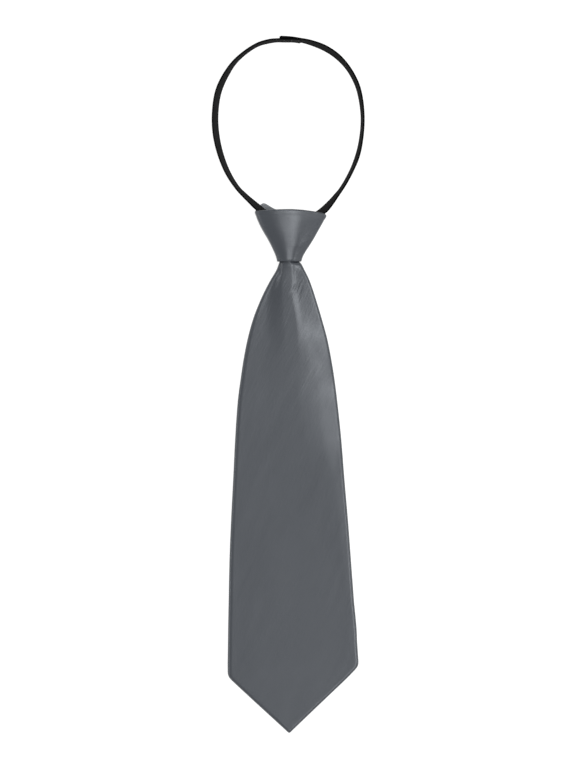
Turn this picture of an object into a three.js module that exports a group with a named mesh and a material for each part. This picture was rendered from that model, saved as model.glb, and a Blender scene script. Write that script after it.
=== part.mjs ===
// Pre-tied necktie lying on its back: a folded satin blade gathered into a funnel-shaped knot,
// with a black elastic band looped through the mouth of the knot. Millimetres, +Z up,
// +Y along the tie towards the band. Z = 0 is the surface that it rests on.
import * as THREE from "three";

// Driving sizes
const CLOTH = 1.0; // thickness of one layer of the padded satin
const CLEAR = 0.3; // space left between two layers that lie on each other
const FOLD_DEPTH = 1.25; // how far a rolled side fold reaches in from the edge
const SLIT = 0.5; // width of the line where the two back flaps meet
const HEM = 5; // width of the cloth turned to the back round the point
const V_APEX_Y = -115; // top of the inverted V between the back flaps
const V_FOOT_Y = -152; // where the legs of the V reach the hem
const TIP_Y = -186.3; // end of the point
const INNER_TIP_Y = -182.6; // where the hollow between the layers ends
const FACING_TOP_Y = -100; // upper edge of the facing, under the flaps
const FACING_BED = CLOTH + 0.2; // height of the underside of the facing
const BAND_WIDTH = 6; // quarter-inch elastic
const BAND_THICK = 1; // thickness of the elastic
const BAND_CHAMFER = 0.22; // softened corners of the elastic
const LAP_STEP = 1.34; // distance between the two layers in the lap of the band

// Blade, one row per station along it. left, right: the outline. The next five columns are the
// places of the crease beside the pleat, the pleat's shoulder and top, the ridge of the right wing
// and the wing's middle, then the heights of the front at them and at both edges.
// back: height of the underside.
const STATION = ["y", "left", "right", "crease", "shoulder", "top", "ridge", "wing",
  "edgeZ", "creaseZ", "shoulderZ", "topZ", "ridgeZ", "wingZ", "rightZ", "back"];
const BLADE = [
  [84.0, -12.3, 14.6, -9.0, -5.2, -0.9, 6.2, 10.8, 8.4, 9.8, 11.9, 12.6, 11.9, 10.0, 8.0, 2.7],
  [75.0, -8.0, 10.0, -6.0, -3.2, 1.0, 5.2, 7.6, 8.2, 9.4, 10.9, 11.2, 10.2, 8.6, 7.0, 2.7],
  [65.7, -4.6, 5.45, -4.0, -3.3, -0.2, 2.6, 3.9, 7.6, 8.3, 9.35, 9.7, 8.9, 8.0, 7.1, 2.7],
  [64.4, -5.0, 6.7, -4.5, -3.8, 0.9, 3.9, 5.2, 8.0, 8.5, 9.55, 9.78, 9.36, 9.1, 8.8, 2.5],
  [60.9, -6.3, 8.6, -5.4, -3.8, 1.7, 4.5, 6.4, 8.0, 8.1, 9.05, 9.18, 8.78, 8.72, 8.66, 2.1],
  [55.6, -9.4, 11.2, -8.5, -4.0, 1.9, 4.7, 7.6, 7.25, 7.27, 8.26, 8.35, 8.05, 8.0, 7.95, 1.5],
  [50.2, -12.3, 13.2, -10.9, -3.5, 1.6, 5.0, 8.0, 6.53, 6.54, 7.53, 7.63, 7.27, 7.2, 7.07, 0.9],
  [44.9, -14.8, 14.9, -12.6, -2.6, 2.2, 6.3, 9.5, 6.05, 6.05, 6.83, 6.9, 6.5, 6.4, 6.25, 0.4],
  [34.2, -19.0, 18.1, -12.8, -1.8, 4.2, 8.0, 11.5, 5.46, 5.44, 5.92, 5.93, 5.6, 5.35, 5.0, 0],
  [23.5, -21.9, 21.0, -12.0, -1.2, 5.0, 9.0, 13.0, 5.17, 5.1, 5.32, 5.29, 5.06, 4.6, 3.7, 0],
  [12.8, -24.0, 23.1, -12.5, -2.3, 5.5, 10.0, 14.8, 4.99, 4.9, 4.94, 4.92, 4.83, 4.52, 3.38, 0],
  [2.1, -25.6, 24.8, -14.0, -3.5, 5.0, 9.5, 15.5, 4.74, 4.68, 4.67, 4.64, 4.53, 4.26, 3.47, 0],
  [-8.6, -27.0, 26.15, -16.0, -4.5, 5.5, 10.5, 16.5, 4.55, 4.43, 4.39, 4.37, 4.26, 3.97, 3.05, 0],
  [-30.0, -28.5, 28.4, -17.8, -6.0, 8.5, 14.0, 19.0, 4.15, 4.08, 4.05, 4.03, 3.96, 3.81, 3.05, 0],
  [-51.4, -29.55, 30.1, -20.0, -8.0, 13.0, 20.0, 25.0, 3.87, 3.84, 3.82, 3.82, 3.81, 3.78, 3.67, 0],
  [-72.8, -30.65, 31.95, -21.0, -9.0, 16.5, 23.5, 28.0, 3.67, 3.66, 3.66, 3.66, 3.66, 3.65, 3.6, 0],
  [-94.2, -31.5, 33.55, -21.5, -9.5, 18.5, 25.0, 29.5, 3.56, 3.56, 3.56, 3.56, 3.56, 3.56, 3.54, 0],
  [-115.6, -31.95, 35.15, -21.5, -9.5, 19.5, 26.5, 31.0, 3.47, 3.47, 3.47, 3.47, 3.47, 3.47, 3.46, 0],
  [-137.0, -32.3, 36.8, -21.5, -9.5, 20.5, 27.5, 32.5, 3.4, 3.4, 3.4, 3.4, 3.4, 3.4, 3.4, 0],
  [TIP_Y, 0.5, 0.5, 0.5, 0.5, 0.5, 0.5, 0.5, 3.3, 3.3, 3.3, 3.3, 3.3, 3.3, 3.3, 0],
].map((row) => Object.fromEntries(STATION.map((key, k) => [key, row[k]])));

// Lower end of the blade: the two corners and the slanting edges down to the point
const LEFT_END = [[-137, -32.3], [-154.6, -32.6], [-156.4, -32.35], [-157.8, -31.35],
  [-169.2, -19.1], [-179.8, -7.5], [-184.8, -2.05], [TIP_Y, -0.4]];
const RIGHT_END = [[-137, 36.8], [-147.4, 37.5], [-149.7, 37.7], [-151.6, 37.1],
  [-158.5, 30.5], [-169.2, 19.25], [-179.8, 8.15], [-184.8, 2.95], [TIP_Y, 1.4]];

// Stations of the blade's rows
const BLADE_ROWS = [84, 80, 75, 70, 65.7, 65, 64.4, 62.8, 60.9, 58.2, 55.6, 52.9, 50.2, 47.5, 44.9, 39.5,
  34.2, 28.8, 23.5, 18, 12.8, 2.1, -8.6, -19, -30, -51.4, -72.8, -94.2, V_APEX_Y, -126, -137,
  -147.4, -149.7, -151.6, -154.6, -156.4, -157.8, -163, -169.2, -174.5, -179.8, -182.6, -184.8,
  TIP_Y];
const ACROSS = [3, 4, 3, 3, 3, 3]; // columns from edge to crease, shoulder, top, ridge, wing, edge
const ROLL = [0, 45, 90]; // degrees of turn at which a rolled side fold has its lines

// Knot, one row per station: outline, depth from the resting face to the crown, and how far the
// crown leans to the right, as a share of the half width
const KNOT = [
  { y: 65.4, left: -6.0, right: 6.95, depth: 11.2, crown: 0.14 },
  { y: 67.9, left: -6.6, right: 7.7, depth: 11.6, crown: 0.14 },
  { y: 71.1, left: -7.9, right: 9.4, depth: 12.2, crown: 0.12 },
  { y: 74.3, left: -9.4, right: 11.5, depth: 12.8, crown: 0.11 },
  { y: 77.5, left: -11.1, right: 13.5, depth: 13.4, crown: 0.065 },
  { y: 80.7, left: -13.0, right: 15.3, depth: 14.0, crown: 0.02 },
  { y: 83.9, left: -14.8, right: 17.1, depth: 14.5, crown: -0.02 },
  { y: 87.1, left: -16.3, right: 18.9, depth: 14.9, crown: -0.05 },
  { y: 90.3, left: -17.5, right: 20.6, depth: 15.2, crown: -0.1 },
  { y: 93.5, left: -18.3, right: 21.4, depth: 15.4, crown: -0.13 },
  { y: 96.0, left: -18.5, right: 21.7, depth: 15.5, crown: -0.13 },
];
// Front of the knot's section from its right side over the crown to its left side, as shares of
// its half width and half depth: a flat facet on the right, a soft crown left of the middle
const KNOT_FRONT = [[1, 0], [0.997, 0.15], [0.985, 0.25], [0.955, 0.315], [0.91, 0.355],
  [0.82, 0.435], [0.72, 0.518], [0.63, 0.595], [0.54, 0.672], [0.44, 0.752], [0.35, 0.818],
  [0.26, 0.871], [0.16, 0.915], [0.07, 0.944], [-0.03, 0.966], [-0.12, 0.981], [-0.21, 0.993],
  [-0.31, 1.0], [-0.4, 0.997], [-0.5, 0.985], [-0.59, 0.964], [-0.68, 0.937], [-0.78, 0.905],
  [-0.87, 0.868], [-0.93, 0.83], [-0.97, 0.75], [-0.992, 0.5], [-1, 0]];
const KNOT_BACK_POWER = 4.2; // roundness of the flat back half of the section
// Rim of the knot's mouth, by share of the way round from the middle of the back, going right
const KNOT_RIM = [[0, 92.6], [0.08, 92.2], [0.15, 91.0], [0.2, 90.1], [0.25, 89.8], [0.275, 90.5],
  [0.29, 91.1], [0.32, 91.6], [0.35, 92.15], [0.38, 92.5], [0.43, 93.0], [0.49, 93.25],
  [0.58, 93.05], [0.65, 92.6], [0.7, 92.2], [0.76, 91.8], [0.785, 92.6], [0.815, 94.9],
  [0.838, 96.6], [0.845, 96.75], [0.852, 96.6], [0.88, 95.1], [0.906, 93.75], [0.93, 93.1],
  [0.96, 92.8], [1, 92.6]];
const LIP_RISE = 1.3; // how far the back of the rim curls up on the left
const KNOT_ROWS = 11;
const KNOT_COLUMNS = 46;
const LAP_FROM = -0.045; // inner end of the wrapped cloth, as a share of the way round
const LAP_TO = 1.02; // outer end, lying over the inner one

// Middle line of the elastic band, anticlockwise from its under end at the top:
// lean is the angle in degrees by which the strap's upper edge leans outwards, lift the height of
// its lower edge above the ground
const BAND = [
  { x: 6.6, y: 182.5, lean: 16, lift: 0 }, { x: 1.4, y: 183.45, lean: 14, lift: 0 },
  { x: -5.5, y: 183.85, lean: 13, lift: 0 }, { x: -10.9, y: 183.2, lean: 15, lift: 0 },
  { x: -17.3, y: 181.1, lean: 13, lift: 0 }, { x: -27.7, y: 173.3, lean: 17, lift: 0 },
  { x: -33.8, y: 164.7, lean: 27, lift: 0 }, { x: -37.5, y: 156.1, lean: 31, lift: 0 },
  { x: -39.1, y: 145.4, lean: 31, lift: 0 }, { x: -38.8, y: 134.7, lean: 32, lift: 0 },
  { x: -36.6, y: 124.0, lean: 29, lift: 0 }, { x: -32.5, y: 113.3, lean: 25, lift: 0 },
  { x: -27.1, y: 104.8, lean: 20, lift: 0.3 }, { x: -22.9, y: 100.4, lean: 24, lift: 1.7 },
  { x: -19.9, y: 97.6, lean: 28, lift: 3.0 }, { x: -16.8, y: 94.8, lean: 34, lift: 3.9 },
  { x: -13.4, y: 92.0, lean: 34, lift: 4.0 }, { x: -9.5, y: 89.7, lean: 30, lift: 3.6 },
  { x: -4.4, y: 88.0, lean: 28, lift: 3.2 }, { x: 1.2, y: 87.5, lean: 28, lift: 3.0 },
  { x: 6.8, y: 87.8, lean: 28, lift: 3.2 }, { x: 11.8, y: 88.9, lean: 30, lift: 3.4 },
  { x: 15.9, y: 90.7, lean: 36, lift: 3.7 }, { x: 19.4, y: 93.3, lean: 38, lift: 3.7 },
  { x: 22.4, y: 96.5, lean: 31, lift: 3.0 }, { x: 25.3, y: 100.2, lean: 22, lift: 1.9 },
  { x: 28.7, y: 104.8, lean: 16, lift: 0.3 }, { x: 33.5, y: 113.3, lean: 16, lift: 0 },
  { x: 37.0, y: 121.9, lean: 19, lift: 0 }, { x: 38.9, y: 130.5, lean: 16, lift: 0 },
  { x: 39.8, y: 141.2, lean: 14, lift: 0 }, { x: 38.9, y: 151.9, lean: 17, lift: 0 },
  { x: 36.7, y: 160.4, lean: 19, lift: 0 }, { x: 32.0, y: 169.0, lean: 20, lift: 0 },
  { x: 26.1, y: 175.4, lean: 25, lift: 0 }, { x: 19.4, y: 179.8, lean: 26, lift: 0 },
  { x: 11.6, y: 182.75, lean: 21, lift: 0 },
];
const BAND_STATIONS = 170;

// A smooth curve through [at, value] pairs that never overshoots them.
function curveThrough(pairs) {
  const p = [...pairs].sort((a, b) => a[0] - b[0]);
  const step = (i) => p[i + 1][0] - p[i][0];
  const slope = (i) => (p[i + 1][1] - p[i][1]) / step(i);
  const tangent = p.map((_, i) => {
    if (i === 0) return slope(0);
    if (i === p.length - 1) return slope(i - 1);
    const before = slope(i - 1);
    const after = slope(i);
    if (before * after <= 0) return 0;
    const a = 2 * step(i) + step(i - 1);
    const b = step(i) + 2 * step(i - 1);
    return (a + b) / (a / before + b / after);
  });
  return (at) => {
    if (at <= p[0][0]) return p[0][1];
    if (at >= p[p.length - 1][0]) return p[p.length - 1][1];
    let i = 0;
    while (at > p[i + 1][0]) i += 1;
    const h = step(i);
    const t = (at - p[i][0]) / h;
    return (1 + 2 * t) * (1 - t) ** 2 * p[i][1] + t * (1 - t) ** 2 * h * tangent[i]
      + t * t * (3 - 2 * t) * p[i + 1][1] + t * t * (t - 1) * h * tangent[i + 1];
  };
}

// One curve along Y for each named column of a table.
function curvesOf(table) {
  const curves = {};
  for (const key of Object.keys(table[0])) {
    if (key !== "y") curves[key] = curveThrough(table.map((row) => [row.y, row[key]]));
  }
  return curves;
}

// Straight lines through [at, value] pairs that run downwards.
function lineThrough(pairs, at) {
  let i = 0;
  while (i < pairs.length - 2 && at < pairs[i + 1][0]) i += 1;
  const [a, b] = [pairs[i], pairs[i + 1]];
  return a[1] + ((at - a[0]) / (b[0] - a[0])) * (b[1] - a[1]);
}

const mix = (a, b, t) => a + (b - a) * t;
const smoothStep = (t) => t * t * (3 - 2 * t);
const clamp = (v, low, high) => Math.min(Math.max(v, low), high);

// A closed mesh from faces given as lists of corner points.
function meshOf(name, triangles, material) {
  const geometry = new THREE.BufferGeometry();
  geometry.setAttribute("position", new THREE.Float32BufferAttribute(triangles.flat(2), 3));
  geometry.computeVertexNormals();
  const mesh = new THREE.Mesh(geometry, material);
  mesh.name = name;
  return mesh;
}

function quad(list, a, b, c, d) {
  list.push([a, b, c], [a, c, d]);
}

// A layer of cloth between an outer and an inner grid of points, closed round its four edges.
function clothBetween(outer, inner) {
  const faces = [];
  const rows = outer.length - 1;
  const columns = outer[0].length - 1;
  for (let i = 0; i < rows; i += 1) {
    for (let j = 0; j < columns; j += 1) {
      quad(faces, outer[i][j], outer[i + 1][j], outer[i + 1][j + 1], outer[i][j + 1]);
      quad(faces, inner[i][j], inner[i][j + 1], inner[i + 1][j + 1], inner[i + 1][j]);
    }
    quad(faces, outer[i][0], inner[i][0], inner[i + 1][0], outer[i + 1][0]);
    quad(faces, outer[i][columns], outer[i + 1][columns], inner[i + 1][columns],
      inner[i][columns]);
  }
  for (let j = 0; j < columns; j += 1) {
    quad(faces, outer[0][j], outer[0][j + 1], inner[0][j + 1], inner[0][j]);
    quad(faces, outer[rows][j], inner[rows][j], inner[rows][j + 1], outer[rows][j + 1]);
  }
  return faces;
}

// A bar between closed sections, capped at both ends.
function barThrough(sections) {
  const faces = [];
  const count = sections[0].length;
  for (let i = 0; i < sections.length - 1; i += 1) {
    for (let j = 0; j < count; j += 1) {
      const k = (j + 1) % count;
      quad(faces, sections[i][j], sections[i][k], sections[i + 1][k], sections[i + 1][j]);
    }
  }
  const last = sections[sections.length - 1];
  for (let j = 1; j < count - 1; j += 1) {
    faces.push([sections[0][0], sections[0][j + 1], sections[0][j]]);
    faces.push([last[0], last[j], last[j + 1]]);
  }
  return faces;
}

const blade = curvesOf(BLADE);

// Outline of the blade at a station, and how much each edge slants there.
function outline(y) {
  const edge = (curve, end) => (at) => (at < -137 ? lineThrough(end, at) : curve(at));
  const leftAt = edge(blade.left, LEFT_END);
  const rightAt = edge(blade.right, RIGHT_END);
  const slant = (side) => {
    const run = (side(clamp(y + 1, TIP_Y, 84)) - side(clamp(y - 1, TIP_Y, 84)))
      / (clamp(y + 1, TIP_Y, 84) - clamp(y - 1, TIP_Y, 84));
    return y < -137 ? Math.hypot(1, run) : 1;
  };
  return { left: leftAt(y), right: rightAt(y), slantLeft: slant(leftAt), slantRight: slant(rightAt) };
}

// The turn of a side fold as [x, z] points, from the back up to where the front starts: as tall as
// the two layers allow.
function roll(edge, reach, low, high) {
  const tall = Math.min(0.46 * (high - low), Math.max(Math.abs(reach), reach ** 2 / (CLOTH / 2)));
  const turn = ROLL.map((a) => [Math.sin((a * Math.PI) / 180), 1 - Math.cos((a * Math.PI) / 180)]);
  const lower = turn.map(([s, c]) => [edge + reach * (1 - s), low + tall * c]);
  const upper = turn.slice(1).map(([s, c]) => [edge + reach * (1 - s), high - tall * c]);
  return [...lower, ...upper.reverse()];
}

// Section of the folded blade at a station, from the end of the left flap round the front to the
// end of the right flap, as [x, z] points, with the slant of the nearer edge.
function bladeSection(y) {
  const { left, right, slantLeft, slantRight } = outline(y);
  const width = right - left;
  const seam = (left + right) / 2;
  const slit = Math.min(SLIT / 2, 0.05 * width);
  const foldLeft = Math.min(FOLD_DEPTH * slantLeft, 0.3 * width);
  const foldRight = Math.min(FOLD_DEPTH * slantRight, 0.3 * width);
  const under = blade.back(y);
  const open = clamp((V_APEX_Y - y) / (V_APEX_Y - V_FOOT_Y), 0, 1);
  const flapLeft = Math.min(mix(seam - slit, left + HEM * slantLeft, open), seam - slit);
  const flapRight = Math.max(mix(seam + slit, right - HEM * slantRight, open), seam + slit);
  const marks = ["crease", "shoulder", "top", "ridge", "wing"];
  const at = Math.max(y, -137);
  const start = blade.left(at);
  const whole = blade.right(at) - start;
  const places = [0, ...marks.map((mark) => (blade[mark](at) - start) / whole), 1];
  const heights = [blade.edgeZ(y), ...marks.map((mark) => blade[`${mark}Z`](y)), blade.rightZ(y)];
  const front = curveThrough(places.map((share, k) => [share, heights[k]]));
  const points = [];
  const add = (x, z, slant) => points.push({ x, z, slant });
  for (let k = 0; k < 3; k += 1) add(mix(flapLeft, left + foldLeft, k / 3), under, slantLeft);
  roll(left, foldLeft, under, blade.edgeZ(y)).forEach(([x, z]) => add(x, z, slantLeft));
  ACROSS.forEach((count, part) => {
    for (let k = part === 0 ? 0 : 1; k <= count; k += 1) {
      const share = mix(places[part], places[part + 1], k / count);
      add(mix(left + foldLeft, right - foldRight, share), front(share),
        mix(slantLeft, slantRight, share));
    }
  });
  roll(right, -foldRight, under, blade.rightZ(y)).reverse()
    .forEach(([x, z]) => add(x, z, slantRight));
  for (let k = 2; k >= 0; k -= 1) add(mix(flapRight, right - foldRight, k / 3), under, slantRight);
  return points;
}

// The same section moved inwards by the thickness of the cloth.
function inset(section, depth) {
  return section.map((point, i) => {
    const a = section[Math.max(i - 1, 0)];
    const b = section[Math.min(i + 1, section.length - 1)];
    const length = Math.hypot(b.x - a.x, b.z - a.z);
    return {
      x: point.x + (depth * point.slant * (b.z - a.z)) / length,
      z: point.z - (depth * (b.x - a.x)) / length,
    };
  });
}

function bladeFaces() {
  const at = (section, y) => section.map((point) => [point.x, y, point.z]);
  const outer = BLADE_ROWS.map((y) => at(bladeSection(y), y));
  const inner = BLADE_ROWS.map((y) => {
    const t = clamp((-169.2 - y) / (-169.2 - TIP_Y), 0, 1);
    const moved = y > -169.2 ? y : mix(-169.2, INNER_TIP_Y, t);
    return at(inset(bladeSection(moved), CLOTH), moved);
  });
  return clothBetween(outer, inner);
}

// The facing behind the point: a flat piece that lies between the flaps and the front.
function facingFaces() {
  const margin = CLOTH + 2 * CLEAR;
  const rows = [FACING_TOP_Y, -115, -126, -137, -147.4, -149.7, -151.6, -154.6, -156.4, -157.8,
    -163, -169.2, -174.5, -179.8];
  const grid = (z) => rows.map((y) => {
    const { left, right, slantLeft, slantRight } = outline(y);
    return [0, 0.25, 0.5, 0.75, 1].map((share) => [
      mix(left + margin * slantLeft, right - margin * slantRight, share), y, z]);
  });
  return clothBetween(grid(FACING_BED + CLOTH), grid(FACING_BED));
}

const knot = curvesOf(KNOT);
const knotRim = curveThrough(KNOT_RIM);

// A smooth line through points, with count steps between each two.
function rounded(points, count) {
  const curve = new THREE.CatmullRomCurve3(
    points.map(([x, z]) => new THREE.Vector3(x, z, 0)), false, "catmullrom", 0.5);
  return curve.getPoints((points.length - 1) * count).map((p) => [p.x, p.y]);
}

// Part of the flat, round-cornered back of the section, between two turns in degrees.
function backOfSection(start, end, count) {
  return Array.from({ length: count + 1 }, (_, k) => {
    const a = (mix(start, end, k / count) * Math.PI) / 180;
    const power = 2 / KNOT_BACK_POWER;
    return [Math.sign(Math.cos(a)) * Math.abs(Math.cos(a)) ** power,
      Math.sign(Math.sin(a)) * Math.abs(Math.sin(a)) ** power];
  });
}

const knotShape = [...backOfSection(-90, 0, 90).slice(0, -1), ...rounded(KNOT_FRONT, 8),
  ...backOfSection(180, 270, 90).slice(1)];

// Closed section of the knot at a station as a long polyline, from the middle of the back going
// right, with the distance run so far.
function knotSection(y) {
  const centre = (knot.left(y) + knot.right(y)) / 2;
  const half = (knot.right(y) - knot.left(y)) / 2;
  const deep = knot.depth(y) / 2;
  const points = [];
  let run = 0;
  knotShape.forEach(([u, v], k) => {
    const lean = v > 0 ? knot.crown(y) * (1 - u * u) : 0;
    const x = centre + half * (u + lean);
    const z = deep + deep * v;
    if (k > 0) run += Math.hypot(x - points[k - 1].x, z - points[k - 1].z);
    points.push({ x, z, run });
  });
  return points;
}

// Point of the wrapped cloth at a share of the way round: the inner end lies inside the outer one,
// and the back of the rim curls up on the left. down is 0 at the rim, 1 at the narrow end.
function wrapPoint(section, share, down) {
  const whole = section[section.length - 1].run;
  const target = (share - Math.floor(share)) * whole;
  let i = 1;
  while (section[i].run < target) i += 1;
  const [a, b] = [section[i - 1], section[i]];
  const t = (target - a.run) / Math.max(b.run - a.run, 1e-9);
  const inside = 1 - smoothStep(clamp((share - 0.034) / 0.05, 0, 1));
  const lip = smoothStep(clamp((share - 0.76) / 0.06, 0, 1))
    * smoothStep(clamp((0.95 - share) / 0.13, 0, 1)) * smoothStep(clamp((0.6 - down) / 0.45, 0, 1));
  const z = mix(a.z, b.z, t) + (CLOTH + CLEAR) * inside + LIP_RISE * lip;
  return { x: mix(a.x, b.x, t), z, slant: 1 };
}

function knotFaces() {
  const shares = Array.from({ length: KNOT_COLUMNS }, (_, j) => {
    const lapped = [LAP_FROM, -0.01, 0.034, 0.05, 0.067, 0.084];
    return j < 6 ? lapped[j] : mix(0.084, LAP_TO, (j - 5) / (KNOT_COLUMNS - 6));
  });
  const outer = [];
  const inner = [];
  for (let i = 0; i < KNOT_ROWS; i += 1) {
    const outerRow = [];
    const innerRow = [];
    shares.forEach((share, j) => {
      const down = i / (KNOT_ROWS - 1);
      const y = mix(knotRim(share - Math.floor(share)), KNOT[0].y, down);
      const section = knotSection(y);
      const around = [shares[Math.max(j - 1, 0)], share, shares[Math.min(j + 1, KNOT_COLUMNS - 1)]];
      const points = around.map((s) => wrapPoint(section, s, down));
      const moved = inset(points, -CLOTH)[1];
      outerRow.push([points[1].x, y, points[1].z]);
      innerRow.push([moved.x, y, moved.z]);
    });
    outer.push(outerRow);
    inner.push(innerRow);
  }
  return clothBetween(outer.map((row) => row.reverse()), inner.map((row) => row.reverse()));
}

// The strap stands on edge along its path; its two ends lie on each other at the top.
function bandFaces() {
  const over = BAND.slice(0, 3).map((p) => ({ ...p, y: p.y + LAP_STEP }));
  over[0].x = 6.9;
  over[2].x = -4.7;
  const stations = [...BAND, ...over];
  const path = new THREE.CatmullRomCurve3(
    stations.map((p) => new THREE.Vector3(p.x, p.y, 0)), false, "centripetal");
  path.arcLengthDivisions = 2000;
  const lean = curveThrough(stations.map((p, k) => [k, THREE.MathUtils.degToRad(p.lean)]));
  const lift = curveThrough(stations.map((p, k) => [k, p.lift]));
  const [w, h, c] = [BAND_WIDTH / 2, BAND_THICK / 2, BAND_CHAMFER];
  const corners = [[w - c, -h], [w, -h + c], [w, h - c], [w - c, h],
    [-w + c, h], [-w, h - c], [-w, -h + c], [-w + c, -h]];
  const sections = [];
  for (let i = 0; i <= BAND_STATIONS; i += 1) {
    const t = path.getUtoTmapping(i / BAND_STATIONS);
    const at = t * (stations.length - 1);
    const middle = path.getPoint(t);
    const along = path.getTangent(t);
    const [sin, cos] = [Math.sin(lean(at)), Math.cos(lean(at))];
    const section = corners.map(([a, b]) => {
      const out = a * sin + b * cos;
      return [middle.x + along.y * out, middle.y - along.x * out, a * cos - b * sin];
    });
    const raise = lift(at) - Math.min(...section.map((p) => p[2]));
    sections.push(section.map(([x, y, z]) => [x, y, z + raise]));
  }
  return barThrough(sections);
}

const satin = () => new THREE.MeshStandardMaterial({ color: 0x5b5e63, roughness: 0.42, metalness: 0 });
const facingSatin = new THREE.MeshStandardMaterial({ color: 0x55585d, roughness: 0.46, metalness: 0 });
const elastic = new THREE.MeshStandardMaterial({ color: 0x1b1c1f, roughness: 0.85, metalness: 0 });

const necktie = new THREE.Group();
necktie.name = "necktie";
necktie.add(meshOf("blade", bladeFaces(), satin()));
necktie.add(meshOf("tip_facing", facingFaces(), facingSatin));
necktie.add(meshOf("knot_wrap", knotFaces(), satin()));
necktie.add(meshOf("neck_band", bandFaces(), elastic));

export default necktie;
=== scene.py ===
import math
from collections import namedtuple

import bpy
from mathutils import Matrix, Vector, noise


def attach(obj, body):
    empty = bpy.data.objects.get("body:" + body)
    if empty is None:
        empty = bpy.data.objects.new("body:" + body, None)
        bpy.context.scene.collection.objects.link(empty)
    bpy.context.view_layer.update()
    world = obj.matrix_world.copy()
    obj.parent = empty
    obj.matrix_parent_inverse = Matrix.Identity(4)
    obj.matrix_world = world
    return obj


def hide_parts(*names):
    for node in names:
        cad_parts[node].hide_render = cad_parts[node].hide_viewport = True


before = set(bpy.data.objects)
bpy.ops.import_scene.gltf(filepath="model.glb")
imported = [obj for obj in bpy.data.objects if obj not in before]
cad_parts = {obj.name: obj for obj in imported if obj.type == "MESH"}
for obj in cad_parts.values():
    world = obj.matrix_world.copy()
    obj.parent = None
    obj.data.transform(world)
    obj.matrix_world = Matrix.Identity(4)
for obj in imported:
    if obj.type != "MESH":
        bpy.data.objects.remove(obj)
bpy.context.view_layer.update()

MM = 0.001
UV_SPAN = 0.1          # one unit of a cloth's own map is 100 mm of cloth
CLOTH_MAP = "cloth map"

# Sizes and places in mm; the blade runs down y, from its end inside the knot to its point
CLOTH = 1.0            # thickness of one layer of the padded satin
FACING_CLOTH = 0.7     # thickness of the facing
FACING_GAP = 0.25      # room left between the facing and the folds beside it
FACING_Z = 1.6         # height of the facing's middle
FOLD_DEPTH = 1.25      # how far a rolled side fold reaches in from the edge
HEM = 5.0              # cloth turned to the back round the point
SLIT = 0.03            # half the gap of the back seam
BLADE_TOP = 84.0
BAR_TACK_Y = -109.0    # bar of thread at the foot of the back seam
V_APEX_Y = -115.0      # top of the inverted V between the back flaps
POINT_FROM = -137.0    # below it the sides follow the tables of the point
V_FOOT_Y = -152.0
TIP_Y = -186.3
BLADE_END = TIP_Y - 0.2
NOSE = 1.1             # the point of the blade is rounded over this length
TIP_HALF = 0.1         # half the width left at the very end of the point
BAND_WIDTH = 6.0
BAND_THICK = 1.0
BAND_EDGE = 0.42       # the strap's woven edges are rounded over this width
RIBS = 6
RIB_RISE = 0.085
LAP_STEP = 1.34        # how far the upper layer of the band's lap lies outside the lower one
LAP_TAPER = 10.0       # length over which the strap's lower end is thinned under the lap
THREAD = 0.14          # half the thickness of the sewing thread
BAR_THREAD = 0.17      # and of the bar tack's

# Tables of the shape, in mm

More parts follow.
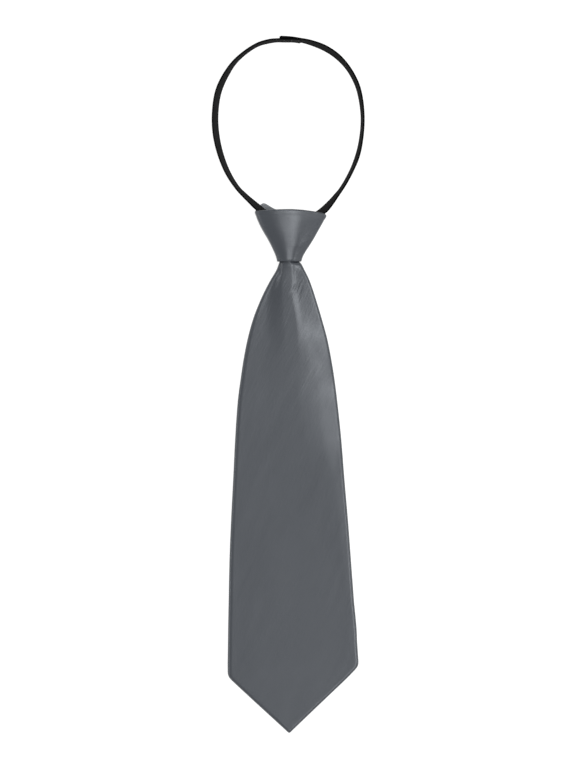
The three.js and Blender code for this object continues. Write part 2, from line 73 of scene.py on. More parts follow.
# Stations down the blade: its two edges; where the crease beside the pleat, the pleat's shoulder
# and top, the ridge of the right wing and the wing's middle lie; how high each of them stands, and
# how high the back lies over the table
Station = namedtuple("Station", "y left right crease shoulder top ridge wing edge_z crease_z "
                                "shoulder_z top_z ridge_z wing_z right_z back")
BLADE = [Station(*row) for row in (
    (84.0, -12.3, 14.6, -9.0, -5.2, -0.9, 6.2, 10.8, 8.4, 9.8, 11.9, 12.6, 11.9, 10.0, 8.0, 2.7),
    (75.0, -8.0, 10.0, -6.0, -3.2, 1.0, 5.2, 7.6, 8.2, 9.4, 10.9, 11.2, 10.2, 8.6, 7.0, 2.7),
    (65.7, -4.6, 5.45, -4.0, -3.3, -0.2, 2.6, 3.9, 7.6, 8.3, 9.35, 9.7, 8.9, 8.0, 7.1, 2.7),
    (64.4, -5.0, 6.7, -4.5, -3.8, 0.9, 3.9, 5.2, 8.0, 8.5, 9.55, 9.78, 9.36, 9.1, 8.8, 2.5),
    (60.9, -6.3, 8.6, -5.4, -3.8, 1.7, 4.5, 6.4, 8.0, 8.1, 9.05, 9.18, 8.78, 8.72, 8.66, 2.1),
    (55.6, -9.4, 11.2, -8.5, -4.0, 1.9, 4.7, 7.6, 7.25, 7.27, 8.26, 8.35, 8.05, 8.0, 7.95, 1.5),
    (50.2, -12.3, 13.2, -10.9, -3.5, 1.6, 5.0, 8.0, 6.53, 6.54, 7.53, 7.63, 7.27, 7.2, 7.07, 0.9),
    (44.9, -14.8, 14.9, -12.6, -2.6, 2.2, 6.3, 9.5, 6.05, 6.05, 6.83, 6.9, 6.5, 6.4, 6.25, 0.4),
    (34.2, -19.0, 18.1, -12.8, -1.8, 4.2, 8.0, 11.5, 5.46, 5.44, 5.92, 5.93, 5.6, 5.35, 5.0, 0.0),
    (23.5, -21.9, 21.0, -12.0, -1.2, 5.0, 9.0, 13.0, 5.17, 5.1, 5.32, 5.29, 5.06, 4.6, 3.7, 0.0),
    (12.8, -24.0, 23.1, -12.5, -2.3, 5.5, 10.0, 14.8, 4.99, 4.9, 4.94, 4.92, 4.83, 4.52, 3.38, 0.0),
    (2.1, -25.6, 24.8, -14.0, -3.5, 5.0, 9.5, 15.5, 4.74, 4.68, 4.67, 4.64, 4.53, 4.26, 3.47, 0.0),
    (-8.6, -27.0, 26.15, -16.0, -4.5, 5.5, 10.5, 16.5, 4.55, 4.43, 4.39, 4.37, 4.26, 3.97, 3.05, 0.0),
    (-30.0, -28.5, 28.4, -17.8, -6.0, 8.5, 14.0, 19.0, 4.15, 4.08, 4.05, 4.03, 3.96, 3.81, 3.05, 0.0),
    (-51.4, -29.55, 30.1, -20.0, -8.0, 13.0, 20.0, 25.0, 3.87, 3.84, 3.82, 3.82, 3.81, 3.78, 3.67, 0.0),
    (-72.8, -30.65, 31.95, -21.0, -9.0, 16.5, 23.5, 28.0, 3.67, 3.66, 3.66, 3.66, 3.66, 3.65, 3.6, 0.0),
    (-94.2, -31.5, 33.55, -21.5, -9.5, 18.5, 25.0, 29.5, 3.56, 3.56, 3.56, 3.56, 3.56, 3.56, 3.54, 0.0),
    (-115.6, -31.95, 35.15, -21.5, -9.5, 19.5, 26.5, 31.0, 3.47, 3.47, 3.47, 3.47, 3.47, 3.47, 3.46, 0.0),
    (POINT_FROM, -32.3, 36.8, -21.5, -9.5, 20.5, 27.5, 32.5, 3.4, 3.4, 3.4, 3.4, 3.4, 3.4, 3.4, 0.0),
    (TIP_Y, 0.5, 0.5, 0.5, 0.5, 0.5, 0.5, 0.5, 3.3, 3.3, 3.3, 3.3, 3.3, 3.3, 3.3, 0.0),
)]
# The two sides of the point, as corners (y, x)
LEFT_END = [(POINT_FROM, -32.3), (-154.6, -32.6), (-156.4, -32.35), (-157.8, -31.35),
            (-169.2, -19.1), (-179.8, -7.5), (-184.8, -2.05), (TIP_Y, -0.4)]
RIGHT_END = [(POINT_FROM, 36.8), (-147.4, 37.5), (-149.7, 37.7), (-151.6, 37.1), (-158.5, 30.5),
             (-169.2, 19.25), (-179.8, 8.15), (-184.8, 2.95), (TIP_Y, 1.4)]

# Stations up the knot: its two sides, its whole depth, and how far its crown leans to the right
Ring = namedtuple("Ring", "y left right depth crown")
KNOT = [
    Ring(65.4, -6.0, 6.95, 11.2, 0.14), Ring(67.9, -6.6, 7.7, 11.6, 0.14),
    Ring(71.1, -7.9, 9.4, 12.2, 0.12), Ring(74.3, -9.4, 11.5, 12.8, 0.11),
    Ring(77.5, -11.1, 13.5, 13.4, 0.065), Ring(80.7, -13.0, 15.3, 14.0, 0.02),
    Ring(83.9, -14.8, 17.1, 14.5, -0.02), Ring(87.1, -16.3, 18.9, 14.9, -0.05),
    Ring(90.3, -17.5, 20.6, 15.2, -0.1), Ring(93.5, -18.3, 21.4, 15.4, -0.13),
    Ring(96.0, -18.5, 21.7, 15.5, -0.13),
]
# The rim of the knot's mouth: how high it stands at each share of the way round, from the middle
# of the back
KNOT_RIM = [(0, 92.6), (0.08, 92.2), (0.15, 91.0), (0.2, 90.1), (0.25, 89.8), (0.275, 90.5),
            (0.29, 91.1), (0.32, 91.6), (0.35, 92.15), (0.38, 92.5), (0.43, 93.0), (0.49, 93.25),
            (0.58, 93.05), (0.65, 92.6), (0.7, 92.2), (0.76, 91.8), (0.785, 92.6), (0.815, 94.9),
            (0.838, 96.6), (0.845, 96.75), (0.852, 96.6), (0.88, 95.1), (0.906, 93.75),
            (0.93, 93.1), (0.96, 92.8), (1, 92.6)]
# Front of the knot's section from its right side over the crown to its left side, as shares of
# its half width and half depth
KNOT_FRONT = [(1, 0), (0.997, 0.15), (0.985, 0.25), (0.955, 0.315), (0.91, 0.355),
              (0.82, 0.435), (0.72, 0.518), (0.63, 0.595), (0.54, 0.672), (0.44, 0.752),
              (0.35, 0.818), (0.26, 0.871), (0.16, 0.915), (0.07, 0.944), (-0.03, 0.966),
              (-0.12, 0.981), (-0.21, 0.993), (-0.31, 1.0), (-0.4, 0.997), (-0.5, 0.985),
              (-0.59, 0.964), (-0.68, 0.937), (-0.78, 0.905), (-0.87, 0.868), (-0.93, 0.83),
              (-0.97, 0.75), (-0.992, 0.5), (-1, 0)]
LAP_FROM, LAP_TO = -0.045, 1.02   # start and end of the knot's cloth, as shares of the way round

# Stations along the neck band, from its lower end round the loop to its upper end: its place, how
# far it leans outward in degrees, and how far it is lifted off the table
Strap = namedtuple("Strap", "x y lean lift")
BAND = [
    Strap(6.6, 182.5, 16, 0), Strap(1.4, 183.45, 14, 0), Strap(-5.5, 183.85, 13, 0),
    Strap(-10.9, 183.2, 15, 0), Strap(-17.3, 181.1, 13, 0), Strap(-27.7, 173.3, 17, 0),
    Strap(-33.8, 164.7, 27, 0), Strap(-37.5, 156.1, 31, 0), Strap(-39.1, 145.4, 31, 0),
    Strap(-38.8, 134.7, 32, 0), Strap(-36.6, 124.0, 29, 0), Strap(-32.5, 113.3, 25, 0),
    Strap(-27.1, 104.8, 20, 0.3), Strap(-22.9, 100.4, 24, 1.7), Strap(-19.9, 97.6, 28, 3.0),
    Strap(-16.8, 94.8, 34, 3.9), Strap(-13.4, 92.0, 34, 4.0), Strap(-9.5, 89.7, 30, 3.6),
    Strap(-4.4, 88.0, 28, 3.2), Strap(1.2, 87.5, 28, 3.0), Strap(6.8, 87.8, 28, 3.2),
    Strap(11.8, 88.9, 30, 3.4), Strap(15.9, 90.7, 36, 3.7), Strap(19.4, 93.3, 38, 3.7),
    Strap(22.4, 96.5, 31, 3.0), Strap(25.3, 100.2, 22, 1.9),
    Strap(28.7, 104.8, 16, 0.3), Strap(33.5, 113.3, 16, 0), Strap(37.0, 121.9, 19, 0),
    Strap(38.9, 130.5, 16, 0), Strap(39.8, 141.2, 14, 0), Strap(38.9, 151.9, 17, 0),
    Strap(36.7, 160.4, 19, 0), Strap(32.0, 169.0, 20, 0), Strap(26.1, 175.4, 25, 0),
    Strap(19.4, 179.8, 26, 0), Strap(11.6, 182.75, 21, 0),
    Strap(6.9, 182.5 + LAP_STEP, 16, 0), Strap(1.4, 183.45 + LAP_STEP, 14, 0),
    Strap(-4.7, 183.85 + LAP_STEP, 13, 0),
]


# Curves, and shares between two values

def curve_through(pairs):
    """A smooth curve through (at, value) pairs that never overshoots them."""
    p = sorted(pairs)
    step = [p[i + 1][0] - p[i][0] for i in range(len(p) - 1)]
    slope = [(p[i + 1][1] - p[i][1]) / step[i] for i in range(len(p) - 1)]
    tangent = [slope[0]]
    for i in range(1, len(p) - 1):
        before, after = slope[i - 1], slope[i]
        if before * after <= 0:
            tangent.append(0.0)
        else:
            a, b = 2 * step[i] + step[i - 1], step[i] + 2 * step[i - 1]
            tangent.append((a + b) / (a / before + b / after))
    tangent.append(slope[-1])

    def value(at):
        if at <= p[0][0]:
            return p[0][1]
        if at >= p[-1][0]:
            return p[-1][1]
        i = 0
        while at > p[i + 1][0]:
            i += 1
        h = step[i]
        t = (at - p[i][0]) / h
        return ((1 + 2 * t) * (1 - t) ** 2 * p[i][1] + t * (1 - t) ** 2 * h * tangent[i]
                + t * t * (3 - 2 * t) * p[i + 1][1] + t * t * (t - 1) * h * tangent[i + 1])

    return value


def curves_of(table):
    """A curve down the table for each of its columns."""
    return {key: curve_through([(row.y, getattr(row, key)) for row in table])
            for key in table[0]._fields if key != "y"}


def mix(a, b, t):
    return a + (b - a) * t


def clamp(v, low=0.0, high=1.0):
    return min(max(v, low), high)


def smooth_step(t):
    t = clamp(t)
    return t * t * (3 - 2 * t)


def bell(distance, width):
    """1 in the middle, falling off to nothing on both sides."""
    return math.exp(-(distance / width) ** 2)


def steps(start, end, count):
    """count places from start towards end, with end itself left out."""
    return [mix(start, end, k / count) for k in range(count)]


def spread(runs):
    """Places of a grid's rows or columns, from runs of (start, end, count)."""
    return [place for run in runs for place in steps(*run)]


# The edge of a cloth is rounded: distances in from it, and the share of the half thickness there
ROUND_IN = [CLOTH / 2 * (1 - math.cos(math.radians(a))) for a in (0, 30, 60, 90)]
ROUND_UP = [math.sin(math.radians(a)) for a in (0, 30, 60, 90)]


def rounded_shares(count):
    """Share of the cloth's thickness at each of count rows or columns, rounded off at both ends."""
    ends = [min(k, count - 1 - k) for k in range(count)]
    return [ROUND_UP[k] if k < len(ROUND_UP) else 1.0 for k in ends]


# Layers of cloth

def mesh_piece(name, verts, faces):
    mesh = bpy.data.meshes.new(name)
    mesh.from_pydata([tuple(v) for v in verts], [], faces)
    piece = bpy.data.objects.new(name, mesh)
    bpy.context.scene.collection.objects.link(piece)
    return piece


def cloth_piece(name, grid, thick, inner_share=None):
    """A layer of cloth round a grid of points of its middle surface, in mm, with rounded edges.
    inner_share thins the inner side of a row, where a fold leaves no room for it."""
    rows, columns = len(grid), len(grid[0])
    across, along = rounded_shares(columns), rounded_shares(rows)
    flat_u, flat_v = cloth_map(grid)
    outer, inner = [], []
    for i in range(rows):
        for j in range(columns):
            p = Vector(grid[i][j])
            du = Vector(grid[i][min(j + 1, columns - 1)]) - Vector(grid[i][max(j - 1, 0)])
            dv = Vector(grid[min(i + 1, rows - 1)][j]) - Vector(grid[max(i - 1, 0)][j])
            n = dv.cross(du)
            n = n.normalized() if n.length > 1e-12 else Vector((0, 0, 1))
            half = thick / 2 * across[j] * along[i]
            outer.append(p + n * half)
            inner.append(p - n * half * (inner_share[i] if inner_share else 1.0))
    verts, faces = [], []

    def add(points, turned):
        start = len(verts)
        verts.extend([q * MM for q in points])
        for i in range(rows - 1):
            for j in range(columns - 1):
                a = start + i * columns + j
                quad = [a, a + columns, a + columns + 1, a + 1]
                faces.append(quad[::-1] if turned else quad)

    add(outer, False)
    add(inner, True)
    piece = mesh_piece(name, verts, faces)
    layer = piece.data.uv_layers.new(name=CLOTH_MAP)
    for loop in piece.data.loops:
        point = loop.vertex_index % (rows * columns)
        layer.data[loop.index].uv = (flat_u[point], flat_v[point])
    for k, polygon in enumerate(piece.data.polygons):
        polygon.use_smooth = True
        polygon.material_index = 0 if k < len(faces) // 2 else 1
    join_edges(piece)
    return piece


def cloth_map(grid):
    """How far each point lies along its row and its column, so that a weave follows the cloth."""
    rows, columns = len(grid), len(grid[0])
    middle = columns // 2
    flat_u, flat_v = [], []
    down = 0.0
    for i in range(rows):
        if i:
            down += (Vector(grid[i][middle]) - Vector(grid[i - 1][middle])).length
        run = [0.0]
        for j in range(1, columns):
            run.append(run[-1] + (Vector(grid[i][j]) - Vector(grid[i][j - 1])).length)
        for j in range(columns):
            flat_u.append((run[j] - run[middle]) * MM / UV_SPAN)
            flat_v.append(-down * MM / UV_SPAN)
    return flat_u, flat_v


def deselect():
    bpy.ops.object.select_all(action="DESELECT")


def join_edges(piece):
    """Close the edges, where the outer and the inner side of the cloth have the same points."""
    deselect()
    piece.select_set(True)
    bpy.context.view_layer.objects.active = piece
    bpy.ops.object.mode_set(mode="EDIT")
    bpy.ops.mesh.select_all(action="SELECT")
    bpy.ops.mesh.remove_doubles(threshold=1e-9)
    bpy.ops.object.mode_set(mode="OBJECT")


# The blade and the facing of its point

# How many columns the front has between its marks, and the rows of the blade and its facing, as
# runs of (start, end, count)
MARKS = ("crease", "shoulder", "top", "ridge", "wing")
FRONT_COLUMNS = [8, 16, 8, 12, 8, 8]
BLADE_ROWS = [(83, 66, 8), (66, 20, 46), (20, -100, 50), (-100, -146, 20), (-146, -161, 22),
              (-161, -183, 14), (-183, -185, 4)]
NOSE_ROWS = [NOSE, 0.85, 0.6, 0.4, 0.22, 0.1, 0.03, 0]
FACING_TOP, FACING_FOOT = -100.0, -180.0
FACING_ROWS = [(-102, -146, 16), (-146, -161, 18), (-161, -179, 12)]
FACING_COLUMNS = 30

blade = curves_of(BLADE)


def line_through(pairs, at):
    """A value on the straight stretches between (y, x) pairs that run down the blade."""
    i = 0
    while i < len(pairs) - 2 and at < pairs[i + 1][0]:
        i += 1
    (y0, x0), (y1, x1) = pairs[i], pairs[i + 1]
    return x0 + (at - y0) / (y1 - y0) * (x1 - x0)


def end_of(pairs):
    """One side of the point: straight edges whose corners are eased over a few millimetres."""
    ease = [(-1.5, 0.1), (-0.9, 0.2), (-0.3, 0.2), (0.3, 0.2), (0.9, 0.2), (1.5, 0.1)]

    def at(y):
        room = min(1.0, (y - TIP_Y) / 3, (POINT_FROM - y) / 3)
        return sum(line_through(pairs, y + d * max(room, 0)) * w for d, w in ease)

    return at


left_end, right_end = end_of(LEFT_END), end_of(RIGHT_END)


def outline(y):
    """Left and right edge of the blade at a station, and how much each edge slants there."""
    if y > POINT_FROM:
        return blade["left"](y), blade["right"](y), 1.0, 1.0
    above, below = min(y + 0.8, POINT_FROM), max(y - 0.8, TIP_Y)
    slants = [math.hypot(1, (side(above) - side(below)) / (above - below))
              for side in (left_end, right_end)]
    return left_end(y), right_end(y), slants[0], slants[1]


# Crumples pressed into the pleat: middle, turn in degrees, length, width, and height in mm
Crumple = namedtuple("Crumple", "x y turn long wide height")
CRUMPLES = [
    Crumple(5.2, 51.6, 63, 2.4, 0.4, -0.15), Crumple(5.9, 51.4, 64, 2.4, 0.35, 0.08),
    Crumple(6.7, 50.6, 66, 2.4, 0.4, -0.13), Crumple(4.3, 50.6, 60, 2.2, 0.4, 0.12),
    Crumple(3.4, 51.2, 60, 2.4, 0.4, -0.17), Crumple(2.2, 49.9, 58, 1.8, 0.4, -0.12),
    Crumple(11.6, 35.2, 40, 1.4, 0.4, -0.05), Crumple(14.2, 33.0, 74, 4.0, 0.6, -0.04),
    Crumple(12.4, 24.0, 66, 5.0, 0.7, 0.04),
]


def blade_relief(x, y):
    """Crumples of the pleat and slight unevenness of the pressed cloth, in mm."""
    rise = 0.0
    for fold in CRUMPLES:
        c, s = math.cos(math.radians(fold.turn)), math.sin(math.radians(fold.turn))
        a, b = (x - fold.x) * c + (y - fold.y) * s, -(x - fold.x) * s + (y - fold.y) * c
        rise += fold.height * bell(a, fold.long) * bell(b, fold.wide)
    rise += 0.05 * noise.noise(Vector((x / 17, y / 34, 3.7)))
    rise += 0.02 * noise.noise(Vector((x / 5 - y / 10, y / 20 + x / 30, 9.2)))
    return rise


def roll(edge, reach, low, high, count=5):
    """The turn of a folded cloth at one of its sides, from its back up to its front."""
    high = max(high, low + 0.3)
    tall = min(0.46 * (high - low), max(abs(reach), reach * reach / (CLOTH / 2)))
    quarter = [(math.sin(math.radians(a)), 1 - math.cos(math.radians(a)))
               for a in steps(0, 90, count)] + [(1, 1)]
    lower = [(edge + reach * (1 - s), low + tall * c) for s, c in quarter]
    middle = [(edge, mix(low + tall, high - tall, k / 4)) for k in (1, 2, 3)]
    upper = [(edge + reach * (1 - s), high - tall * c) for s, c in quarter]
    return lower + middle + upper[:0:-1]


def flap(end, fold_start, z):
    """A back flap, from its rounded end to the start of the fold at the blade's side."""
    room = abs(fold_start - end)
    into = [d * min(1, 0.3 * room / ROUND_IN[-1]) for d in ROUND_IN]
    sign = 1 if fold_start > end else -1
    xs = [end + sign * d for d in into]
    xs += [mix(xs[-1], fold_start, k / 9) for k in range(1, 9)]
    return [(x, z) for x in xs]


def blade_section(y):
    """Middle line of the folded cloth from the left flap's end, over the front, to the right's."""
    half = CLOTH / 2
    left, right, slant_left, slant_right = outline(y)
    seam = (left + right) / 2
    reach = max((right - left) / 2 - half * (slant_left + slant_right) / 2, TIP_HALF)
    left, right = seam - reach, seam + reach
    width = right - left
    under = blade["back"](y) + half
    left_z, right_z = blade["edge_z"](y) - half, blade["right_z"](y) - half
    fold_left = min((FOLD_DEPTH - half) * slant_left, 0.34 * width)
    fold_right = min((FOLD_DEPTH - half) * slant_right, 0.34 * width)
    slit = min(SLIT, 0.02 * width)
    opened = clamp((V_APEX_Y - y) / (V_APEX_Y - V_FOOT_Y))
    flap_left = min(mix(seam - slit, left + HEM * slant_left, opened), seam - slit)
    flap_right = max(mix(seam + slit, right - HEM * slant_right, opened), seam + slit)
    at = max(y, POINT_FROM)
    start, whole = blade["left"](at), blade["right"](at) - blade["left"](at)
    places = [0] + [(blade[mark](at) - start) / whole for mark in MARKS] + [1]
    heights = [left_z] + [blade[mark + "_z"](y) - half for mark in MARKS] + [right_z]
    front = curve_through(list(zip(places, heights)))
    points = flap(flap_left, left + fold_left, under)
    points += roll(left, fold_left, under, left_z)
    for part, count in enumerate(FRONT_COLUMNS):
        for k in range(0 if part == 0 else 1, count + 1):
            share = mix(places[part], places[part + 1], k / count)
            x = mix(left + fold_left, right - fold_right, share)
            soft = smooth_step(min(share, 1 - share) / 0.06) * clamp(width / 12)
            points.append((x, front(share) + blade_relief(x, y) * soft))
    points += roll(right, -fold_right, under, right_z)[::-1]
    points += flap(flap_right, right - fold_right, under)[::-1]
    to_end = y - BLADE_END
    if to_end < NOSE:
        closed = math.sqrt(max(1 - (1 - to_end / NOSE) ** 2, 0.002))
        middle = (under + heights[0]) / 2
        points = [(x, middle + (z - middle) * closed) for x, z in points]
    return points


def make_blade():
    ys = [BLADE_TOP - d for d in ROUND_IN] + spread(BLADE_ROWS)
    ys += [BLADE_END + d for d in NOSE_ROWS]
    grid = [[(x, y, z) for x, z in blade_section(y)] for y in ys]
    thin = [clamp((y - TIP_Y - 1.2) / 4.5, 0.05, 1) for y in ys]
    return cloth_piece("blade_cloth", grid, CLOTH, thin)


def make_point_facing():
    margin = CLOTH + FACING_GAP
    ys = [FACING_TOP - d for d in ROUND_IN] + spread(FACING_ROWS)
    ys += [FACING_FOOT + d for d in ROUND_IN[::-1]]
    grid = []
    for y in ys:
        left, right, slant_left, slant_right = outline(y)
        left, right = left + margin * slant_left, right - margin * slant_right
        xs = [left + d for d in ROUND_IN] + steps(left + 1, right - 1, FACING_COLUMNS)
        xs += [right - d for d in ROUND_IN[::-1]]
        row = []
        for x in xs:
            wave = 0.05 * noise.noise(Vector((x / 9, y / 12, 1.3)))
            row.append((x, y, FACING_Z + wave))
        grid.append(row)
    return cloth_piece("point_facing", grid, FACING_CLOTH)


# The knot

knot = curves_of(KNOT)
knot_rim = curve_through(KNOT_RIM)

# Rows are shares of the way down from the rim, about KNOT_HEIGHT mm, and columns shares of the way
# round, about KNOT_GIRTH mm
KNOT_HEIGHT, KNOT_GIRTH = 28, 90
KNOT_ROWS = [(0.03, 0.975, 45)]
KNOT_COLUMNS = [(-0.036, 0.09, 20), (0.09, 0.96, 118), (0.96, 1.01, 6)]


def rounded(points, count=10):
    """A smooth line through points of a section, with count steps between each two."""
    line = []
    ends = [points[0]] + points + [points[-1]]
    for k in range(1, len(ends) - 2):
        p0, p1, p2, p3 = [Vector(p) for p in ends[k - 1:k + 3]]
        for t in steps(0, 1, count):
            line.append(0.5 * (2 * p1 + (p2 - p0) * t + (2 * p0 - 5 * p1 + 4 * p2 - p3) * t ** 2
                               + (3 * p1 - p0 - 3 * p2 + p3) * t ** 3))
    return line + [Vector(points[-1])]


def back_of_section(start, end, count=90):
    """Part of the flat, round-cornered back of the section, between two turns in degrees."""
    line = []
    for k in range(count + 1):
        a = math.radians(mix(start, end, k / count))
        c, s = math.cos(a), math.sin(a)
        line.append(Vector((math.copysign(abs(c) ** (2 / 4.2), c),
                            math.copysign(abs(s) ** (2 / 4.2), s))))
    return line


KNOT_SECTION = (back_of_section(-90, 0)[:-1] + rounded(KNOT_FRONT)
                + back_of_section(180, 270)[1:])


def knot_ring(y, inset):
    """Closed section of the knot as a long line of points, with the distance run so far."""
    centre = (knot["left"](y) + knot["right"](y)) / 2
    half = (knot["right"](y) - knot["left"](y)) / 2 - inset
    deep = knot["depth"](y) / 2
    points, run = [], 0.0
    for u, v in KNOT_SECTION:
        lean = knot["crown"](y) * (1 - u * u) if v > 0 else 0
        x, z = centre + half * (u + lean), deep + (deep - inset) * v
        if points:
            run += math.hypot(x - points[-1][0], z - points[-1][1])
        points.append((x, z, run))
    return points


def on_ring(ring, share):
    """Place on a closed section at a share of the way round it."""
    target = (share - math.floor(share)) * ring[-1][2]
    low, high = 0, len(ring) - 1
    while high - low > 1:
        middle = (low + high) // 2
        if ring[middle][2] < target:
            low = middle
        else:
            high = middle
    a, b = ring[low], ring[high]
    t = (target - a[2]) / max(b[2] - a[2], 1e-9)
    return mix(a[0], b[0], t), mix(a[1], b[1], t)


def knot_relief(share, down):
    """Soft folds that run from the mouth to the pinched end, in mm outwards."""
    front = smooth_step((share - 0.27) / 0.08) * smooth_step((0.73 - share) / 0.08)
    rise = 0.05 * noise.noise(Vector((share * 9, down * 1.6, 5.1)))
    hem = 0.09 * smooth_step((0.068 - down) / 0.012) - 0.05 * bell(down - 0.082, 0.014)
    return rise * front + hem


def knot_lift(share, down):
    """How far the cloth is lifted: over the lap, and at the left corner of the mouth."""
    over_lap = (CLOTH + 0.04) * (1 - smooth_step((share - 0.034) / 0.05))
    corner = 1.3 * smooth_step((share - 0.76) / 0.06) * smooth_step((0.95 - share) / 0.13) \
        * smooth_step((0.6 - down) / 0.45)
    return over_lap + corner


def make_knot():
    top_in, edge_in = [d / KNOT_HEIGHT for d in ROUND_IN], [d / KNOT_GIRTH for d in ROUND_IN]
    downs = top_in + spread(KNOT_ROWS) + [1 - d / 2 for d in top_in[::-1]]
    shares = [LAP_FROM + d for d in edge_in] + spread(KNOT_COLUMNS)
    shares += [LAP_TO - d for d in edge_in[::-1]]
    rings = {}
    grid = []
    for down in downs:
        row = []
        for share in shares:
            y = mix(knot_rim(share - math.floor(share)), KNOT[0].y, down)
            key = round(y, 2)    # one ring serves all points within a hundredth of a mm
            if key not in rings:
                rings[key] = knot_ring(key, CLOTH / 2)
            x, z = on_ring(rings[key], share)
            before = on_ring(rings[key], share - 0.004)
            after = on_ring(rings[key], share + 0.004)
            n = Vector((after[1] - before[1], before[0] - after[0])).normalized()
            swell = knot_relief(share, down)
            row.append((x + n.x * swell, y, z + knot_lift(share, down) + n.y * swell))
        grid.append(row[::-1])
    return cloth_piece("knot_cloth", grid, CLOTH)


# The neck band

def smooth_path(points, count):
    """Points evenly spread along a smooth curve through the given ones, each with its place in
    the table, and the distance run."""
    fine = []
    pts = [Vector(p) for p in points]
    pts = [pts[0] * 2 - pts[1]] + pts + [pts[-1] * 2 - pts[-2]]
    for k in range(1, len(pts) - 2):
        p0, p1, p2, p3 = pts[k - 1:k + 3]
        d0, d1, d2 = [max((b - a).length ** 0.5, 1e-4)
                      for a, b in ((p0, p1), (p1, p2), (p2, p3))]
        t1 = ((p1 - p0) / d0 - (p2 - p0) / (d0 + d1) + (p2 - p1) / d1) * d1
        t2 = ((p2 - p1) / d1 - (p3 - p1) / (d1 + d2) + (p3 - p2) / d2) * d1
        for s in range(24):
            t = s / 24
            q = (p1 * (2 * t ** 3 - 3 * t ** 2 + 1) + t1 * (t ** 3 - 2 * t ** 2 + t)
                 + p2 * (-2 * t ** 3 + 3 * t ** 2) + t2 * (t ** 3 - t ** 2))
            fine.append((q, k - 1 + t))
    fine.append((pts[-2], len(points) - 1))
    run = [0.0]
    for a, b in zip(fine, fine[1:]):
        run.append(run[-1] + (b[0] - a[0]).length)
    made, i = [], 0
    for n in range(count + 1):
        target = run[-1] * n / count
        while i < len(run) - 2 and run[i + 1] < target:
            i += 1
        t = (target - run[i]) / max(run[i + 1] - run[i], 1e-9)
        point = fine[i][0].lerp(fine[i + 1][0], t)
        made.append((point, mix(fine[i][1], fine[i + 1][1], t), target))
    return made


BAND_STATIONS = 420
RIPPLE = 2.02          # length of one wave of the ripple along the strap, in mm
band_path = smooth_path([(s.x, s.y, 0) for s in BAND], BAND_STATIONS)
band_lean = curve_through([(k, math.radians(s.lean)) for k, s in enumerate(BAND)])
band_lift = curve_through([(k, s.lift) for k, s in enumerate(BAND)])
BAND_LENGTH = band_path[-1][2]


def strap_frame(i):
    """Middle of the strap at a station, its direction across (upwards) and its outward face."""
    middle, place, _ = band_path[i]
    ahead = band_path[min(i + 1, BAND_STATIONS)][0] - band_path[max(i - 1, 0)][0]
    ahead.normalize()
    out = Vector((ahead.y, -ahead.x, 0))
    lean = band_lean(place)
    wide = out * math.sin(lean) + Vector((0, 0, math.cos(lean)))
    face = out * math.cos(lean) - Vector((0, 0, math.sin(lean)))
    low = BAND_WIDTH / 2 * math.cos(lean) + BAND_THICK / 2 * math.sin(lean) * 0.55
    return middle + Vector((0, 0, low + band_lift(place))), wide, face, ahead


def strap_taper(i):
    """Share of its thickness that the strap has at a station, and its step outward: the end
    under the lap is thinned towards the layer that lies on it."""
    thin = mix(0.15, 1.0, smooth_step(band_path[i][2] / LAP_TAPER))
    return thin, (1 - thin) * BAND_THICK * 0.62


def strap_section():
    """The strap's section: ribs of covered rubber side by side, and rounded woven edges."""
    points = []
    half_w, half_t = BAND_WIDTH / 2, BAND_THICK / 2
    inner = half_w - BAND_EDGE
    for side in (1, -1):
        for k in range(RIBS * 4 + 1):
            a = mix(-inner, inner, k / (RIBS * 4))
            rib = RIB_RISE * abs(math.sin(math.pi * (a + inner) / (2 * inner) * RIBS)) ** 0.8
            points.append((a * side, side * (half_t - RIB_RISE + rib)))
        for turn in (20, 55, 90, 125, 160):
            r = math.radians(turn)
            points.append((side * (inner + BAND_EDGE * math.sin(r)),
                           side * (half_t - 0.06) * math.cos(r)))
    return points


def make_band():
    """The whole strap, with cut ends pressed a little flatter, and a slight ripple along it."""
    section = strap_section()
    count = len(section)
    verts, faces = [], []
    around = [0.0]
    for a, b in zip(section, section[1:]):
        around.append(around[-1] + math.hypot(b[0] - a[0], b[1] - a[1]))
    first, last = section[0], section[-1]
    whole = around[-1] + math.hypot(first[0] - last[0], first[1] - last[1])
    for i in range(BAND_STATIONS + 1):
        middle, wide, face, _ = strap_frame(i)
        run = band_path[i][2]
        ripple = 0.02 * math.sin(run * 2 * math.pi / RIPPLE)
        end = min(run, BAND_LENGTH - run)
        squeeze = 1 - 0.35 * (1 - clamp(end / 0.4)) ** 2
        thin, slide = strap_taper(i)
        for a, b in section:
            verts.append((middle + face * slide + wide * a * squeeze
                          + face * b * (squeeze + ripple) * thin) * MM)
    for i in range(BAND_STATIONS):
        for j in range(count):
            k = (j + 1) % count
            faces.append([i * count + j, (i + 1) * count + j, (i + 1) * count + k, i * count + k])
    faces.append(list(range(count)))
    faces.append([BAND_STATIONS * count + j for j in range(count)][::-1])
    piece = mesh_piece("elastic_band", verts, faces)
    layer = piece.data.uv_layers.new(name=CLOTH_MAP)
    for polygon in piece.data.polygons:
        is_side = len(polygon.vertices) == 4
        closes_round = is_side and count - 1 in [v % count for v in polygon.vertices]
        for loop in polygon.loop_indices:
            i, j = divmod(piece.data.loops[loop].vertex_index, count)
            u = whole if closes_round and j == 0 else around[j]
            layer.data[loop].uv = (u * MM / UV_SPAN, band_path[i][2] * MM / UV_SPAN)
        polygon.use_smooth = is_side
    return piece


# Stitches

